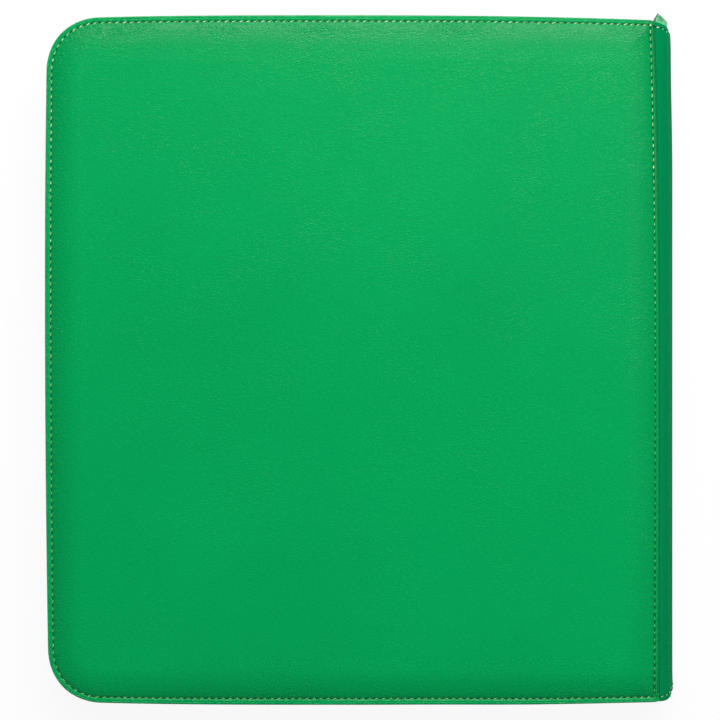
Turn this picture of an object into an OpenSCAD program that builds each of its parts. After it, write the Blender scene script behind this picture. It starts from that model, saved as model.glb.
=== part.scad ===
// Zip-round stamp album with padded covers, lying shut on its front cover.
// X runs from the fore edge to the spine, Y along the spine and Z up.
// The origin is the middle of the front cover's flat outer face.

/* [Album] */
// Width of a cover, from the fore edge to the fold
cover_w = 328.5; // [260:0.5:400]
// Height of a cover at the fold
cover_h = 366; // [300:0.5:440]
// Thickness of the shut album
album_t = 48; // [47:0.5:60]
// Radius of the two fore-edge corners
corner_r = 28; // [16:0.5:60]
// How far the top and bottom edges bow out at their middle
edge_bow = 2.1; // [0:0.1:4]
// How far the fore edge bows out at its middle
fore_bow = 1.5; // [0:0.1:4]

/* [Cover layers] */
// Thickness of the leatherette skin
skin_t = 1; // [0.6:0.1:1.4]
// Thickness of the foam under the skin
foam_t = 2; // [1:0.1:4]
// Thickness of the cover board
board_t = 2.2; // [1.5:0.1:3]
// Thickness of the lining sheet
lining_t = 0.6; // [0.4:0.1:1]
// Width of the flat sewn rim
rim_w = 4.5; // [3:0.1:8]
// Width over which the padding rolls up from the rim
roll_w = 9; // [4:0.5:16]
// Width of the skin turned in round the board
turn_in_w = 14; // [10:0.5:24]

/* [Spine] */
// Distance from the end of a cover to the axis of its fold
fold_gap = 2.5; // [2:0.1:4]
// Height of a fold axis above the outer face of its cover
fold_depth = 6.8; // [6.6:0.1:8]
// How far the spine stands out past the fold axes
spine_out = 6.6; // [5:0.1:6.8]
// Rise of the spine's curve between its two folds
spine_sag = 4.5; // [3:0.1:6]
// How far the spine's skin and welts stop short of each end of the covers
spine_short = 1.8; // [0.3:0.1:3]
// How far each end of the spine dips at mid thickness
spine_dip = 4.3; // [2:0.1:5]
// Thickness of the spine board
spine_board_t = 2; // [1:0.1:3]
// How far the spine board stops short of each end of the covers
spine_board_short = 14; // [8:0.5:24]

/* [Leaves] */
// Distance between neighbouring leaves
leaf_pitch = 3; // [2.9:0.05:3]
// Gap between the fore edge of a leaf and the zip tape
leaf_fore_gap = 11.4; // [6:0.1:60]
// Gap between the ends of a leaf and the zip tape
leaf_end_gap = 8.9; // [6:0.1:60]
// Thickness of a leaf's card
leaf_t = 0.7; // [0.4:0.05:0.7]
// Radius of a leaf's fore-edge corners
leaf_corner_r = 8; // [2:0.5:20]
// Radius of the bead along a leaf's hinge edge
bead_r = 0.8; // [0.5:0.05:0.85]
// Depth of the binding bar in front of the end of the covers
bar_front = 6; // [5:0.5:12]
// Length of the binding bar past each end of the leaves
bar_over = 1; // [0:0.5:2]
// Number of clear strips on each face of a leaf
strip_rows = 9; // [4:1:12]
// Thickness of the clear film
film_t = 0.15; // [0.1:0.05:0.25]
// Gap between the film and the card
film_gap = 0.15; // [0.1:0.05:0.25]
// Height of the welded foot of a strip
strip_foot = 2; // [1:0.25:4]
// Space between neighbouring strips
strip_space = 2.5; // [1:0.25:6]
// Margin at the hinge edge of a leaf
strip_hinge_margin = 14; // [8:1:40]
// Margin at the other edges of a leaf
strip_margin = 6; // [3:0.5:20]

/* [Zip] */
// Distance from the edge of a cover to the outside of the gusset
gusset_inset = 3.4; // [2.5:0.1:6]
// Thickness of the gusset
gusset_t = 1; // [0.6:0.1:1.5]
// Height of the gusset over the cover's turned edge
gusset_h = 9; // [6:0.5:12]
// Thickness of the zip tape
tape_t = 0.7; // [0.4:0.1:1]
// How far the tape is sewn down behind the gusset
tape_lap = 3; // [2:0.5:5]
// Pitch of the zip teeth
tooth_pitch = 2.5; // [2:0.1:4]
// Width of a tooth's head along the zip
tooth_w = 1.4; // [0.8:0.1:1.5]
// Width of a tooth's neck along the zip
tooth_neck_w = 0.9; // [0.5:0.1:1.2]
// Thickness of a tooth across the tape
tooth_t = 2; // [1.2:0.1:2.4]
// How far a tooth stands up from its root strip
tooth_h = 1.6; // [1:0.1:2.5]
// Height of the root strip that carries the teeth
tooth_root_h = 1.2; // [0.8:0.1:2]
// Gap between the two rows of teeth
row_gap = 1.4; // [1:0.1:2]

/* [Slider and pull] */
// Length of the slider along the zip
slider_l = 10; // [8:0.5:12]
// Width of the slider across the zip
slider_w = 9; // [8:0.5:10]
// Thickness of each slider plate
slider_plate_t = 0.8; // [0.6:0.1:1.2]
// Height of the two lips that hold the slider on the front tape
slider_lip = 0.6; // [0.3:0.1:0.8]
// How far the nose of the slider lies past the fold axes
slider_past = 3.7; // [3:0.1:4.4]
// Radius of the slider's cross pin
pin_r = 0.6; // [0.5:0.05:0.8]
// Height of the cross pin over the slider plate
pin_rise = 1.45; // [1.4:0.05:2.5]
// Width of the pull
pull_w = 7.2; // [6:0.1:10]
// Length of the pull from the cross pin to its tip
pull_l = 15.7; // [12:0.1:18]
// Length of the pointed end of the pull
pull_point = 5.2; // [4:0.1:7]
// Thickness of the pull
pull_t = 1.8; // [1.2:0.1:2]
// Droop of the pull below the horizontal
pull_droop = 58; // [0:1:80]
// Width of the rim round the pull's recess
pull_rim = 1.3; // [0.8:0.1:2]
// Depth of the pull's recess
pull_recess = 0.4; // [0.2:0.1:0.6]

/* [Hidden] */

leaf_count = 10;
corner_steps = 8;
edge_steps = 6;
roll_steps = 4;
slice_t = 0.02;
fit = 0.1;
play = 0.3;
plate_play = 0.25;
eye_wall = 0.65;
eye_neck = 0.85;
eye_w = 3.6;
foot_w = 1;
foot_wall = 0.25;
bar_wall = 0.6;
post_l = 3;
post_nose = 2;
lip_tail = 0.35;
lip_share = 0.65;
neck_share = 0.35;
head_share = 0.6;
$fn = 64;

skin_colour = "#00a35a";
spine_colour = "#008349";
lining_colour = "#202422";
board_colour = "#9c8f78";
foam_colour = "#e6dfc8";
metal_colour = "#3f4543";

fold_x = cover_w / 2;
half_h = cover_h / 2;
mid_z = album_t / 2;
edge_t = 2 * skin_t + board_t;
board_z = foam_t + skin_t;
turn_z = board_z + board_t;
rim_z = foam_t + edge_t;

hinge_x = fold_x + fold_gap;
spine_x = hinge_x + spine_out;
welt_r = fold_gap - play;
spine_half = mid_z - fold_depth;
spine_r = (spine_half * spine_half + spine_sag * spine_sag) / (2 * spine_sag);
spine_axis_x = spine_x - spine_r;
spine_board_half = spine_half - welt_r - play;
spine_lining_r = spine_r - skin_t - spine_board_t;
bar_r = spine_lining_r - lining_t;
dip_r = (spine_half * spine_half + spine_dip * spine_dip) / (2 * spine_dip);

tape_inset = gusset_inset + gusset_t;
tape_face = tape_inset + tape_t;
leaf_x = fold_x - bar_front;
leaf_w = leaf_x + fold_x - tape_face - leaf_fore_gap;
leaf_h = cover_h - 2 * (tape_face + leaf_end_gap);
bar_face_x = leaf_x + play;
bar_half = (leaf_count - 1) / 2 * leaf_pitch + bead_r + fit + bar_wall;
strip_pitch = (leaf_h - 2 * strip_margin + strip_space) / strip_rows;
strip_h = strip_pitch - strip_space;
strip_w = leaf_w - strip_hinge_margin - strip_margin;

gusset_top = rim_z + gusset_h;
row_z = mid_z - row_gap / 2;
root_z = row_z - tooth_h - tooth_root_h;
zip_inset = tape_inset + tape_t / 2;
zip_end_x = fold_x - 0.5;
zip_corner_x = corner_r - fold_x;
zip_corner_y = half_h - corner_r;
zip_r = corner_r - zip_inset;
lining_inset = tape_face + play + max(edge_bow, fore_bow);

plate_gap = tooth_t / 2 + plate_play;
slider_x = hinge_x + slider_past - slider_l / 2;
slider_y = half_h - zip_inset;
pin_y = slider_y + plate_gap + slider_plate_t + pin_rise;
eye_r = pin_r + fit + eye_wall;
bridge_w = eye_w + 2 * play + 2 * foot_w;
bridge_x = slider_x + slider_l / 2 - bridge_w / 2;
pull_start = eye_r + eye_neck;
spine_end = half_h - spine_short;

// Moves a point of a cover's outline out where the edges bow
function bowed(p) =
    let (u = 2 * p.x / cover_w, v = 2 * p.y / cover_h)
    [p.x - fore_bow * (1 - v * v) * (1 - u) / 2, p.y + edge_bow * v * (1 - u * u)];

// Points from a to b, without b
function run(a, b) = [for (i = [0:edge_steps - 1]) a + (b - a) * i / edge_steps];

// Points of a quarter circle about c, from angle a
function quarter(c, r, a) =
    [for (i = [0:corner_steps - 1]) let (b = a + 90 * i / corner_steps) c + r * [cos(b), sin(b)]];

// Outline of a cover, set in on all sides
function cover_outline(inset) =
    let (
        r = max(corner_r - inset, 1),
        x = fold_x - inset,
        y = half_h - inset,
        top = [r - x, y - r],
        bottom = [r - x, r - y]
    )
    [for (p = concat(
        [[x, -y]],
        run([x, y], top + [0, r]),
        quarter(top, r, 90),
        run(top - [r, 0], bottom - [r, 0]),
        quarter(bottom, r, 180),
        run(bottom - [0, r], [x, -y])
    )) bowed(p)];

module cover_plate(inset, z, t) {
    translate([0, 0, z])
        linear_extrude(t)
            polygon(cover_outline(inset));
}

// Padded block that rolls up from the rim in a quarter of an ellipse
module padded_block(inset, top, base) {
    hull()
        for (i = [0:roll_steps]) {
            a = 90 * i / roll_steps;
            z = base - slice_t - (base - top - slice_t) * sin(a);
            cover_plate(inset + roll_w * (1 - cos(a)), z, slice_t);
        }
}

// Rounded area that the zip runs round, open at the fold end
module zip_area(inset) {
    r = corner_r - inset;
    y = half_h - inset;
    translate([zip_corner_x, -y])
        square([zip_end_x - zip_corner_x, 2 * y]);
    translate([inset - fold_x, -zip_corner_y])
        square([r + 1, 2 * zip_corner_y]);
    for (s = [-1, 1])
        translate([zip_corner_x, s * zip_corner_y])
            circle(r);
}

// Upright wall along the zip's path
module zip_wall(inset, t, z, h) {
    translate([0, 0, z])
        linear_extrude(h)
            difference() {
                zip_area(inset);
                zip_area(inset + t);
                translate([zip_end_x, -half_h])
                    square([2 * corner_r, cover_h]);
            }
}

// Points of one tooth that stands on its root strip, from x on: neck, head and top
function tooth_points(x) =
    let (n = (tooth_w - tooth_neck_w) / 2, r = tooth_root_h)
    concat(
        [[x + n, r], [x + n, r + neck_share * tooth_h], [x, r + head_share * tooth_h]],
        [[x + n, r + tooth_h], [x + tooth_w - n, r + tooth_h]],
        [[x + tooth_w, r + head_share * tooth_h], [x + tooth_w - n, r + neck_share * tooth_h]],
        [[x + tooth_w - n, r]]
    );

// Straight run of teeth from the origin along X, with its root at the bottom
module tooth_run(length) {
    count = floor(length / tooth_pitch);
    lead = (length - (count - 1) * tooth_pitch - tooth_w) / 2;
    teeth = [for (i = [0:count - 1]) each tooth_points(lead + i * tooth_pitch)];
    rotate([90, 0, 0])
        linear_extrude(tooth_t, center = true)
            polygon(concat([[0, 0], [0, tooth_root_h]], teeth, [[length, tooth_root_h], [length, 0]]));
}

// Quarter round run of teeth about the origin, from angle a
module tooth_corner(a) {
    count = floor(zip_r * PI / 2 / tooth_pitch);
    rotate([0, 0, a]) {
        rotate_extrude(angle = 90)
            translate([zip_r - tooth_t / 2, 0])
                square([tooth_t, tooth_root_h]);
        for (i = [0:count - 1])
            rotate([90, 0, 90 * (i + 0.5) / count + 90])
                translate([0, 0, zip_r])
                    linear_extrude(tooth_t, center = true) {
                        polygon(tooth_points(-tooth_w / 2));
                        translate([-tooth_neck_w / 2, 0])
                            square([tooth_neck_w, tooth_root_h + fit]);
                    }
    }
}

// Turns a piece of the front cover into the same piece of the back cover
module on_back() {
    translate([0, 0, album_t])
        mirror([0, 0, 1])
            children();
}

module cover_skin() {
    color(skin_colour)
        difference() {
            union() {
                cover_plate(0, foam_t, edge_t);
                padded_block(rim_w, 0, foam_t + skin_t / 2);
            }
            padded_block(rim_w + skin_t, skin_t, board_z + slice_t);
            cover_plate(skin_t, board_z, board_t);
            cover_plate(turn_in_w, turn_z - slice_t, skin_t + 2 * slice_t);
        }
}

module cover_foam() {
    color(foam_colour)
        padded_block(rim_w + skin_t + fit, skin_t + fit, board_z);
}

module cover_board() {
    color(board_colour)
        cover_plate(skin_t + fit, board_z, board_t);
}

module cover_lining() {
    color(lining_colour)
        union() {
            cover_plate(turn_in_w + fit, turn_z, skin_t);
            cover_plate(lining_inset, rim_z, lining_t);
        }
}

module gusset() {
    color(skin_colour)
        zip_wall(gusset_inset, gusset_t, rim_z, gusset_h);
}

module zip_tape() {
    color(skin_colour)
        zip_wall(tape_inset, tape_t, gusset_top - tape_lap, root_z - gusset_top + tape_lap);
}

module zip_teeth() {
    side = half_h - zip_inset;
    color(metal_colour)
        translate([0, 0, root_z]) {
            for (s = [-1, 1])
                translate([zip_corner_x + fit, s * side, 0])
                    tooth_run(zip_end_x - zip_corner_x - fit);
            translate([zip_inset - fold_x, fit - zip_corner_y, 0])
                rotate([0, 0, 90])
                    tooth_run(2 * (zip_corner_y - fit));
            for (s = [0, 1])
                translate([zip_corner_x, (1 - 2 * s) * zip_corner_y, 0])
                    tooth_corner(90 + 90 * s);
        }
}

// Extrudes a spine profile, drawn about the middle of the spine's curve, along Y
module along_spine(length) {
    translate([spine_axis_x, 0, mid_z])
        rotate([90, 0, 0])
            linear_extrude(length, center = true)
                children();
}

// Curved band of the spine between two radii
module spine_band(r, t, half) {
    intersection() {
        difference() {
            circle(r, $fn = 180);
            circle(r - t, $fn = 180);
        }
        translate([0, -half])
            square([2 * r, 2 * half]);
    }
}

module spine_skin() {
    color(spine_colour)
        difference() {
            along_spine(2 * spine_end)
                difference() {
                    spine_band(spine_r, skin_t, spine_half);
                    for (s = [-1, 1])
                        translate([hinge_x - spine_axis_x, s * spine_half])
                            circle(welt_r);
                }
            for (s = [-1, 1])
                translate([spine_axis_x, s * (spine_end - spine_dip + dip_r), mid_z])
                    rotate([0, 90, 0])
                        cylinder(h = 2 * spine_r, r = dip_r, $fn = 180);
        }
}

module spine_board() {
    color(board_colour)
        along_spine(cover_h - 2 * spine_board_short)
            spine_band(spine_r - skin_t, spine_board_t, spine_board_half);
}

module spine_lining() {
    color(lining_colour)
        along_spine(cover_h - 2 * spine_board_short)
            spine_band(spine_lining_r, lining_t, spine_board_half);
}

module binding_bar() {
    color("#1b1d1c")
        along_spine(leaf_h + 2 * bar_over)
            difference() {
                intersection() {
                    circle(bar_r, $fn = 180);
                    translate([bar_face_x - spine_axis_x, -bar_half])
                        square([bar_r, 2 * bar_half]);
                }
                for (i = [0:leaf_count - 1])
                    translate([leaf_x - spine_axis_x, (i - (leaf_count - 1) / 2) * leaf_pitch])
                        circle(bead_r + fit, $fn = 32);
            }
}

module fold_welt() {
    color(spine_colour)
        translate([hinge_x, 0, fold_depth])
            rotate([90, 0, 0])
                cylinder(h = 2 * spine_end, r = welt_r, center = true);
}

module leaf(index) {
    color("#17191a")
        translate([leaf_x, 0, mid_z + (index - (leaf_count - 1) / 2) * leaf_pitch]) {
            translate([0, 0, -leaf_t / 2])
                linear_extrude(leaf_t) {
                    translate([leaf_corner_r - leaf_w, -leaf_h / 2])
                        square([leaf_w - leaf_corner_r, leaf_h]);
                    translate([-leaf_w, leaf_corner_r - leaf_h / 2])
                        square([leaf_corner_r + 1, leaf_h - 2 * leaf_corner_r]);
                    for (s = [-1, 1])
                        translate([leaf_corner_r - leaf_w, s * (leaf_h / 2 - leaf_corner_r)])
                            circle(leaf_corner_r);
                }
            rotate([90, 0, 0])
                cylinder(h = leaf_h, r = bead_r, center = true, $fn = 32);
        }
}

// Clear pocket strip, welded to the card along its foot and open at its top
module strip() {
    rotate([90, 0, -90])
        linear_extrude(strip_w)
            polygon([
                [0, 0], [-strip_foot, 0], [-strip_foot, film_gap], [-strip_h, film_gap],
                [-strip_h, film_gap + film_t], [0, film_gap + film_t]
            ]);
}

module leaf_strips(index) {
    color("#c9d6d8", 0.6)
        translate([leaf_x - strip_hinge_margin, 0, mid_z + (index - (leaf_count - 1) / 2) * leaf_pitch])
            for (side = [0, 1], row = [0:strip_rows - 1])
                mirror([0, 0, side])
                    translate([0, strip_margin - leaf_h / 2 + row * strip_pitch, leaf_t / 2])
                        strip();
}

// Outline of a slider plate, narrower at its tail and its nose
module slider_plate() {
    l = slider_l / 2;
    w = slider_w / 2;
    polygon([
        [-l, -0.7 * w], [-0.7 * l, -w], [0.6 * l, -w], [l, -0.6 * w],
        [l, 0.6 * w], [0.6 * l, w], [-0.7 * l, w], [-l, 0.7 * w]
    ]);
}

module zip_slider() {
    color("#0b8f52")
        translate([slider_x, slider_y, mid_z])
            rotate([90, 0, 0]) {
                for (s = [-1, 1])
                    translate([0, 0, s * (plate_gap + slider_plate_t / 2)])
                        linear_extrude(slider_plate_t, center = true)
                            slider_plate();
                lip_gap = tape_t / 2 + play;
                for (z = [-plate_gap, lip_gap])
                    translate([-lip_tail * slider_l, -slider_w / 2, z])
                        cube([lip_share * slider_l, slider_lip, plate_gap - lip_gap]);
                translate([(slider_l - post_l) / 2 - post_nose, 0, 0])
                    cube([post_l, row_gap - 2 * plate_play, 2 * plate_gap], center = true);
            }
}

module slider_bridge() {
    color("#0b8f52")
        translate([bridge_x, pin_y, mid_z]) {
            for (s = [-1, 1])
                translate([s * (bridge_w - foot_w) / 2, 0, 0]) {
                    rotate([0, 90, 0])
                        cylinder(h = foot_w, r = pin_r + foot_wall, center = true);
                    translate([0, -pin_rise / 2, 0])
                        cube([foot_w, pin_rise, 2 * pin_r], center = true);
                }
            rotate([0, 90, 0])
                cylinder(h = bridge_w, r = pin_r, center = true);
        }
}

// Pointed outline of the pull from u, set in on all sides
module pull_outline(start, inset) {
    shoulder = pull_l - pull_point;
    half = pull_w / 2;
    side_r = (half * half + pull_point * pull_point) / pull_w;
    translate([start + inset, inset - half])
        square([shoulder - start - inset, pull_w - 2 * inset]);
    intersection() {
        translate([shoulder, half - side_r])
            circle(side_r - inset);
        translate([shoulder, side_r - half])
            circle(side_r - inset);
        translate([shoulder - fit, -half])
            square([2 * pull_point, pull_w]);
    }
}

module zip_pull() {
    color("#5fbe82")
        translate([bridge_x, pin_y, mid_z])
            rotate([0, pull_droop, 90])
                difference() {
                    union() {
                        translate([0, 0, -pull_t / 2])
                            linear_extrude(pull_t)
                                pull_outline(pull_start, 0);
                        rotate([90, 0, 0])
                            cylinder(h = eye_w, r = eye_r, center = true);
                        translate([0, -eye_w / 2, -pull_t / 2])
                            cube([pull_start + 1, eye_w, pull_t]);
                    }
                    rotate([90, 0, 0])
                        cylinder(h = 2 * eye_w, r = pin_r + fit, center = true);
                    translate([0, 0, pull_t / 2 - pull_recess])
                        linear_extrude(pull_t)
                            pull_outline(pull_start + 1, pull_rim);
                }
}

cover_skin();  // front_skin
cover_foam();  // front_foam
cover_board();  // front_board
cover_lining();  // front_lining
gusset();  // front_gusset
zip_tape();  // front_zip_tape
zip_teeth();  // front_zip_teeth
on_back() cover_skin();  // back_skin
on_back() cover_foam();  // back_foam
on_back() cover_board();  // back_board
on_back() cover_lining();  // back_lining
on_back() gusset();  // back_gusset
on_back() zip_tape();  // back_zip_tape
on_back() zip_teeth();  // back_zip_teeth
spine_skin();
spine_board();
spine_lining();
binding_bar();
fold_welt();  // front_fold_welt
on_back() fold_welt();  // back_fold_welt
leaf(0);  // leaf_01
leaf(1);  // leaf_02
leaf(2);  // leaf_03
leaf(3);  // leaf_04
leaf(4);  // leaf_05
leaf(5);  // leaf_06
leaf(6);  // leaf_07
leaf(7);  // leaf_08
leaf(8);  // leaf_09
leaf(9);  // leaf_10
leaf_strips(0);  // strips_01
leaf_strips(1);  // strips_02
leaf_strips(2);  // strips_03
leaf_strips(3);  // strips_04
leaf_strips(4);  // strips_05
leaf_strips(5);  // strips_06
leaf_strips(6);  // strips_07
leaf_strips(7);  // strips_08
leaf_strips(8);  // strips_09
leaf_strips(9);  // strips_10
zip_slider();
slider_bridge();
zip_pull();
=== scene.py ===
import math
import random

import bmesh
import bpy
from mathutils import Matrix, Vector
from mathutils.kdtree import KDTree


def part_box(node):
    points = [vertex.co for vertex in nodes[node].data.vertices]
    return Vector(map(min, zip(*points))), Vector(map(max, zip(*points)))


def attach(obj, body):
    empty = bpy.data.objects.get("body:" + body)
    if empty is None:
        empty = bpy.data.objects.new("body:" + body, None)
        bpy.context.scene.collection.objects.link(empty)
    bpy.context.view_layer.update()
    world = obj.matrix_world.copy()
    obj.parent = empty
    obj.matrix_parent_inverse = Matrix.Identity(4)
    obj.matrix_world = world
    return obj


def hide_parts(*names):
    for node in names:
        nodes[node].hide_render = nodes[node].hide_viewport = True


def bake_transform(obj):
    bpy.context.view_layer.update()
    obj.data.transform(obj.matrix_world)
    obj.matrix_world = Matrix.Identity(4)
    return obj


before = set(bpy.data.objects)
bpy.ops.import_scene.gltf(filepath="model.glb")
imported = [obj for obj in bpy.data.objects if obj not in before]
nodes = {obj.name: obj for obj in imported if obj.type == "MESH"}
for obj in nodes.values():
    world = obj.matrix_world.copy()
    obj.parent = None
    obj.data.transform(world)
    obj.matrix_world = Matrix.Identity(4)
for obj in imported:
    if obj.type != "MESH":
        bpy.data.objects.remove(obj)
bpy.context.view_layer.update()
mm = 0.001
random.seed(14)

# Millimetres in the album's frame: the fold line, half the height, and how far the edges bow out
album = {"foldX": 164.25, "halfH": 183.0, "corner": 28.0, "thickness": 48.0, "edgeBow": 2.1, "foreBow": 1.5,
         "bowPower": 20, "forePower": 3.4, "foldPower": 2, "fullCorner": 0.8}
foldX, halfH, corner = album["foldX"], album["halfH"], album["corner"]
middleZ = album["thickness"] / 2
arcX, arcY = corner - foldX, halfH - corner  # middle of a rounded corner


def startMaterial(name):
    material = bpy.data.materials.new(name)
    material.use_nodes = True
    tree = material.node_tree
    return material, tree, tree.nodes["Principled BSDF"]


def addNode(tree, kind, **settings):
    made = tree.nodes.new("ShaderNode" + kind)
    for key, value in settings.items():
        setattr(made, key, value)
    return made


def setInputs(node, values):
    for key, value in values.items():
        node.inputs[key].default_value = value


def feed(tree, value, socket):
    if isinstance(value, bpy.types.NodeSocket):
        tree.links.new(value, socket)
    else:
        socket.default_value = value


def maths(tree, operation, first, second=0.0, clamp=False):
    made = addNode(tree, "Math", operation=operation, use_clamp=clamp)
    feed(tree, first, made.inputs[0])
    feed(tree, second, made.inputs[1])
    return made.outputs[0]


def remap(tree, value, low, high, newLow=0.0, newHigh=1.0, smooth=False):
    made = addNode(tree, "MapRange", interpolation_type="SMOOTHSTEP" if smooth else "LINEAR")
    feed(tree, value, made.inputs["Value"])
    setInputs(made, {"From Min": low, "From Max": high, "To Min": newLow, "To Max": newHigh})
    return made.outputs["Result"]


def times(tree, first, second):
    return maths(tree, "MULTIPLY", first, second)


def plus(tree, first, second):
    return maths(tree, "ADD", first, second)


def ramp(tree, value, low, high, start=0.0, end=1.0):
    return remap(tree, value, low, high, start, end, smooth=True)


def objectPlace(tree):
    return addNode(tree, "TexCoord").outputs["Object"]


def markPlace(tree, layer):
    return addNode(tree, "UVMap", uv_map=layer).outputs["UV"]


def axes(tree, vector):
    made = addNode(tree, "SeparateXYZ")
    feed(tree, vector, made.inputs[0])
    return made.outputs


def stretched(tree, vector, turn, size):
    # turns the pattern first, then stretches it
    made = addNode(tree, "Mapping", vector_type="TEXTURE")
    setInputs(made, {"Rotation": (0, 0, turn), "Scale": size})
    feed(tree, vector, made.inputs["Vector"])
    return made.outputs[0]


def noise(tree, vector, scale, detail=2.0, output="Fac"):
    made = addNode(tree, "TexNoise")
    feed(tree, vector, made.inputs["Vector"])
    setInputs(made, {"Scale": scale, "Detail": detail})
    return made.outputs[output]


def fadedBy(tree, base, value, low, high, start):
    # the base times a smooth ramp from start to 1
    return times(tree, base, ramp(tree, value, low, high, start))


def tint(tree, colour, shade, shader):
    # base colour times a pattern
    made = addNode(tree, "VectorMath", operation="SCALE")
    made.inputs[0].default_value = colour
    feed(tree, shade, made.inputs["Scale"])
    feed(tree, made.outputs[0], shader.inputs["Base Color"])


def bump(tree, height, shader):
    made = addNode(tree, "Bump")
    setInputs(made, {"Distance": 1.0})  # heights come in metres
    feed(tree, height, made.inputs["Height"])
    feed(tree, made.outputs["Normal"], shader.inputs["Normal"])


# Leatherette: pebbled grain in metres, and what the edge, the fold and a sewn row do to it, with painted
# shade and highlights among that
grain = {"long": 2.6 * mm, "wide": 1.1 * mm, "turn": math.radians(37), "wander": 1.3 * mm, "furrow": 0.42,
         "depth": 0.08 * mm, "fine": 0.008 * mm, "creased": 2.4, "paintedEdgeShade": 0.84, "wearAndHighlight": 1.2, "polish": 0.75,
         "dullFold": 0.4, "ridgeHighlight": 1.35}
# Needle holes: dark and groove set the painted shade in each hole and along the sewn groove; shadeNear and
# shadeFar bound the painted shade beside a row
sewnHole = {"radius": 0.5, "slim": 0.62, "dark": 0.2, "groove": 0.78, "pucker": 0.09 * mm, "shadeNear": 0.8,
            "shadeFar": 17}


def sewnMarks(tree, row):
    # distances to a needle hole, across to the row, along to the hole, in from the edge and along the edge
    place = axes(tree, markPlace(tree, row["layer"]))
    along = times(tree, maths(tree, "PINGPONG", place["X"], 0.5), row["pitch"])
    across = maths(tree, "ABSOLUTE", maths(tree, "SUBTRACT", place["Y"], row["inset"]))
    slim = times(tree, along, sewnHole["slim"])
    square = plus(tree, times(tree, slim, slim), times(tree, across, across))
    return {"hole": maths(tree, "SQRT", square), "across": across, "along": along, "inset": place["Y"],
            "length": times(tree, place["X"], row["pitch"])}


def pebbles(tree, place):
    # cells of the grain, longer one way than the other and wandering
    shifted = addNode(tree, "VectorMath", operation="MULTIPLY_ADD")
    feed(tree, noise(tree, place, 260.0, 1.0, "Color"), shifted.inputs[0])
    shifted.inputs[1].default_value = (grain["wander"],) * 3
    feed(tree, place, shifted.inputs[2])
    cells = addNode(tree, "TexVoronoi", feature="DISTANCE_TO_EDGE")
    setInputs(cells, {"Scale": 1.0})
    size = (grain["long"], grain["wide"], grain["wide"])
    feed(tree, stretched(tree, shifted.outputs[0], grain["turn"], size), cells.inputs["Vector"])
    return ramp(tree, cells.outputs["Distance"], 0.0, grain["furrow"])


def rowShade(tree, shade, place, row, mark):
    # painted shade and highlights along a sewn row and at the edge beside it, with some wear; its ramps in
    # millimetres
    inset = mark["inset"]
    # painted shade in each needle hole and along the sewn groove
    shade = fadedBy(tree, shade, mark["hole"], 0.12, sewnHole["radius"], sewnHole["dark"])
    shade = fadedBy(tree, shade, mark["across"], 0.15, 0.55, sewnHole["groove"])
    if row["shade"]:  # painted shade: the padding rises steeply beside the row, and its slope is painted darker there
        near, far = row["inset"] + sewnHole["shadeNear"], row["inset"] + sewnHole["shadeFar"]
        field = ramp(tree, inset, near, far, row["shade"], 1.0)
        rim = ramp(tree, inset, row["inset"] - sewnHole["shadeNear"], row["inset"], 1.0, row["shade"])
        shade = times(tree, shade, maths(tree, "MAXIMUM", field, rim))
    if row["edge"]:  # painted shade on the outer turn of the rolled edge, and patches on top rubbed paler that also paint in a highlight along it
        shade = fadedBy(tree, shade, inset, 0.25, 0.75, grain["paintedEdgeShade"])
        wornAndHighlit = times(tree, ramp(tree, inset, 0.6, 1.3, 1.0, 0.0),
                       ramp(tree, noise(tree, place, 150.0, 3.0), 0.45, 0.62))
        shade = times(tree, shade, remap(tree, wornAndHighlit, 0.0, 1.0, 1.0, grain["wearAndHighlight"]))
    if "turned" in row:  # painted shade where it turns down into the fold
        shade = fadedBy(tree, shade, inset, 0.5, 1.3, row["turned"])
    if "ridge" in row:  # a painted highlight along the line where the leather turns over
        past = maths(tree, "ABSOLUTE", maths(tree, "SUBTRACT", mark["length"], row["ridge"]))
        shade = fadedBy(tree, shade, past, 0.15, 0.5, grain["ridgeHighlight"])
    return shade


def rowRelief(tree, height, row, mark):
    # the leather is puckered at each needle hole, and dips along some rows
    near = ramp(tree, mark["across"], 0.4, 4.5, 1.0, 0.0)
    pulled = times(tree, near, remap(tree, mark["along"], 0.0, row["pitch"] / 2, -1.0, 0.0))
    height = plus(tree, height, times(tree, pulled, sewnHole["pucker"]))
    if row["dip"]:
        height = plus(tree, height, ramp(tree, mark["across"], 0.1, 0.9, -row["dip"] * mm, 0.0))
    return height


def leatherette(name, colour, rows=(), depth=1.0, rough=0.25, specular=0.19):
    material, tree, shader = startMaterial(name)
    place = objectPlace(tree)
    pebble = pebbles(tree, place)
    fine = noise(tree, place, 1400.0, 3.0)
    patches = remap(tree, noise(tree, place, 24.0, 3.0), 0.35, 0.68, 0.4, 1.15)
    marks = [sewnMarks(tree, row) for row in rows]
    edged = rows and rows[0]["edge"]
    if edged:  # the grain is drawn into creases where the padding rises
        patches = fadedBy(tree, patches, marks[0]["inset"], 4.0, 13.0, grain["creased"])
    height = times(tree, times(tree, pebble, patches), grain["depth"] * depth)
    height = plus(tree, height, times(tree, fine, grain["fine"] * depth))
    shade = remap(tree, noise(tree, place, 9.0, 4.0), 0.3, 0.7, 0.96, 1.04)
    shade = times(tree, shade, remap(tree, pebble, 0.0, 1.0, 0.92, 1.0))
    for row, mark in zip(rows, marks):
        shade = rowShade(tree, shade, place, row, mark)
        height = rowRelief(tree, height, row, mark)
    tint(tree, colour, shade, shader)
    gloss = remap(tree, fine, 0.3, 0.7, rough - 0.04, rough + 0.05)
    if edged:  # the rolled edge is polished, and the edge down in the fold is dull
        gloss = fadedBy(tree, gloss, marks[0]["inset"], 0.65, 1.0, grain["polish"])
        gloss = plus(tree, gloss, ramp(tree, marks[1]["inset"], 0.7, 1.5, grain["dullFold"], 0.0))
    feed(tree, gloss, shader.inputs["Roughness"])
    setInputs(shader, {"Specular IOR Level": specular})
    bump(tree, height, shader)
    return material


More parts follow.
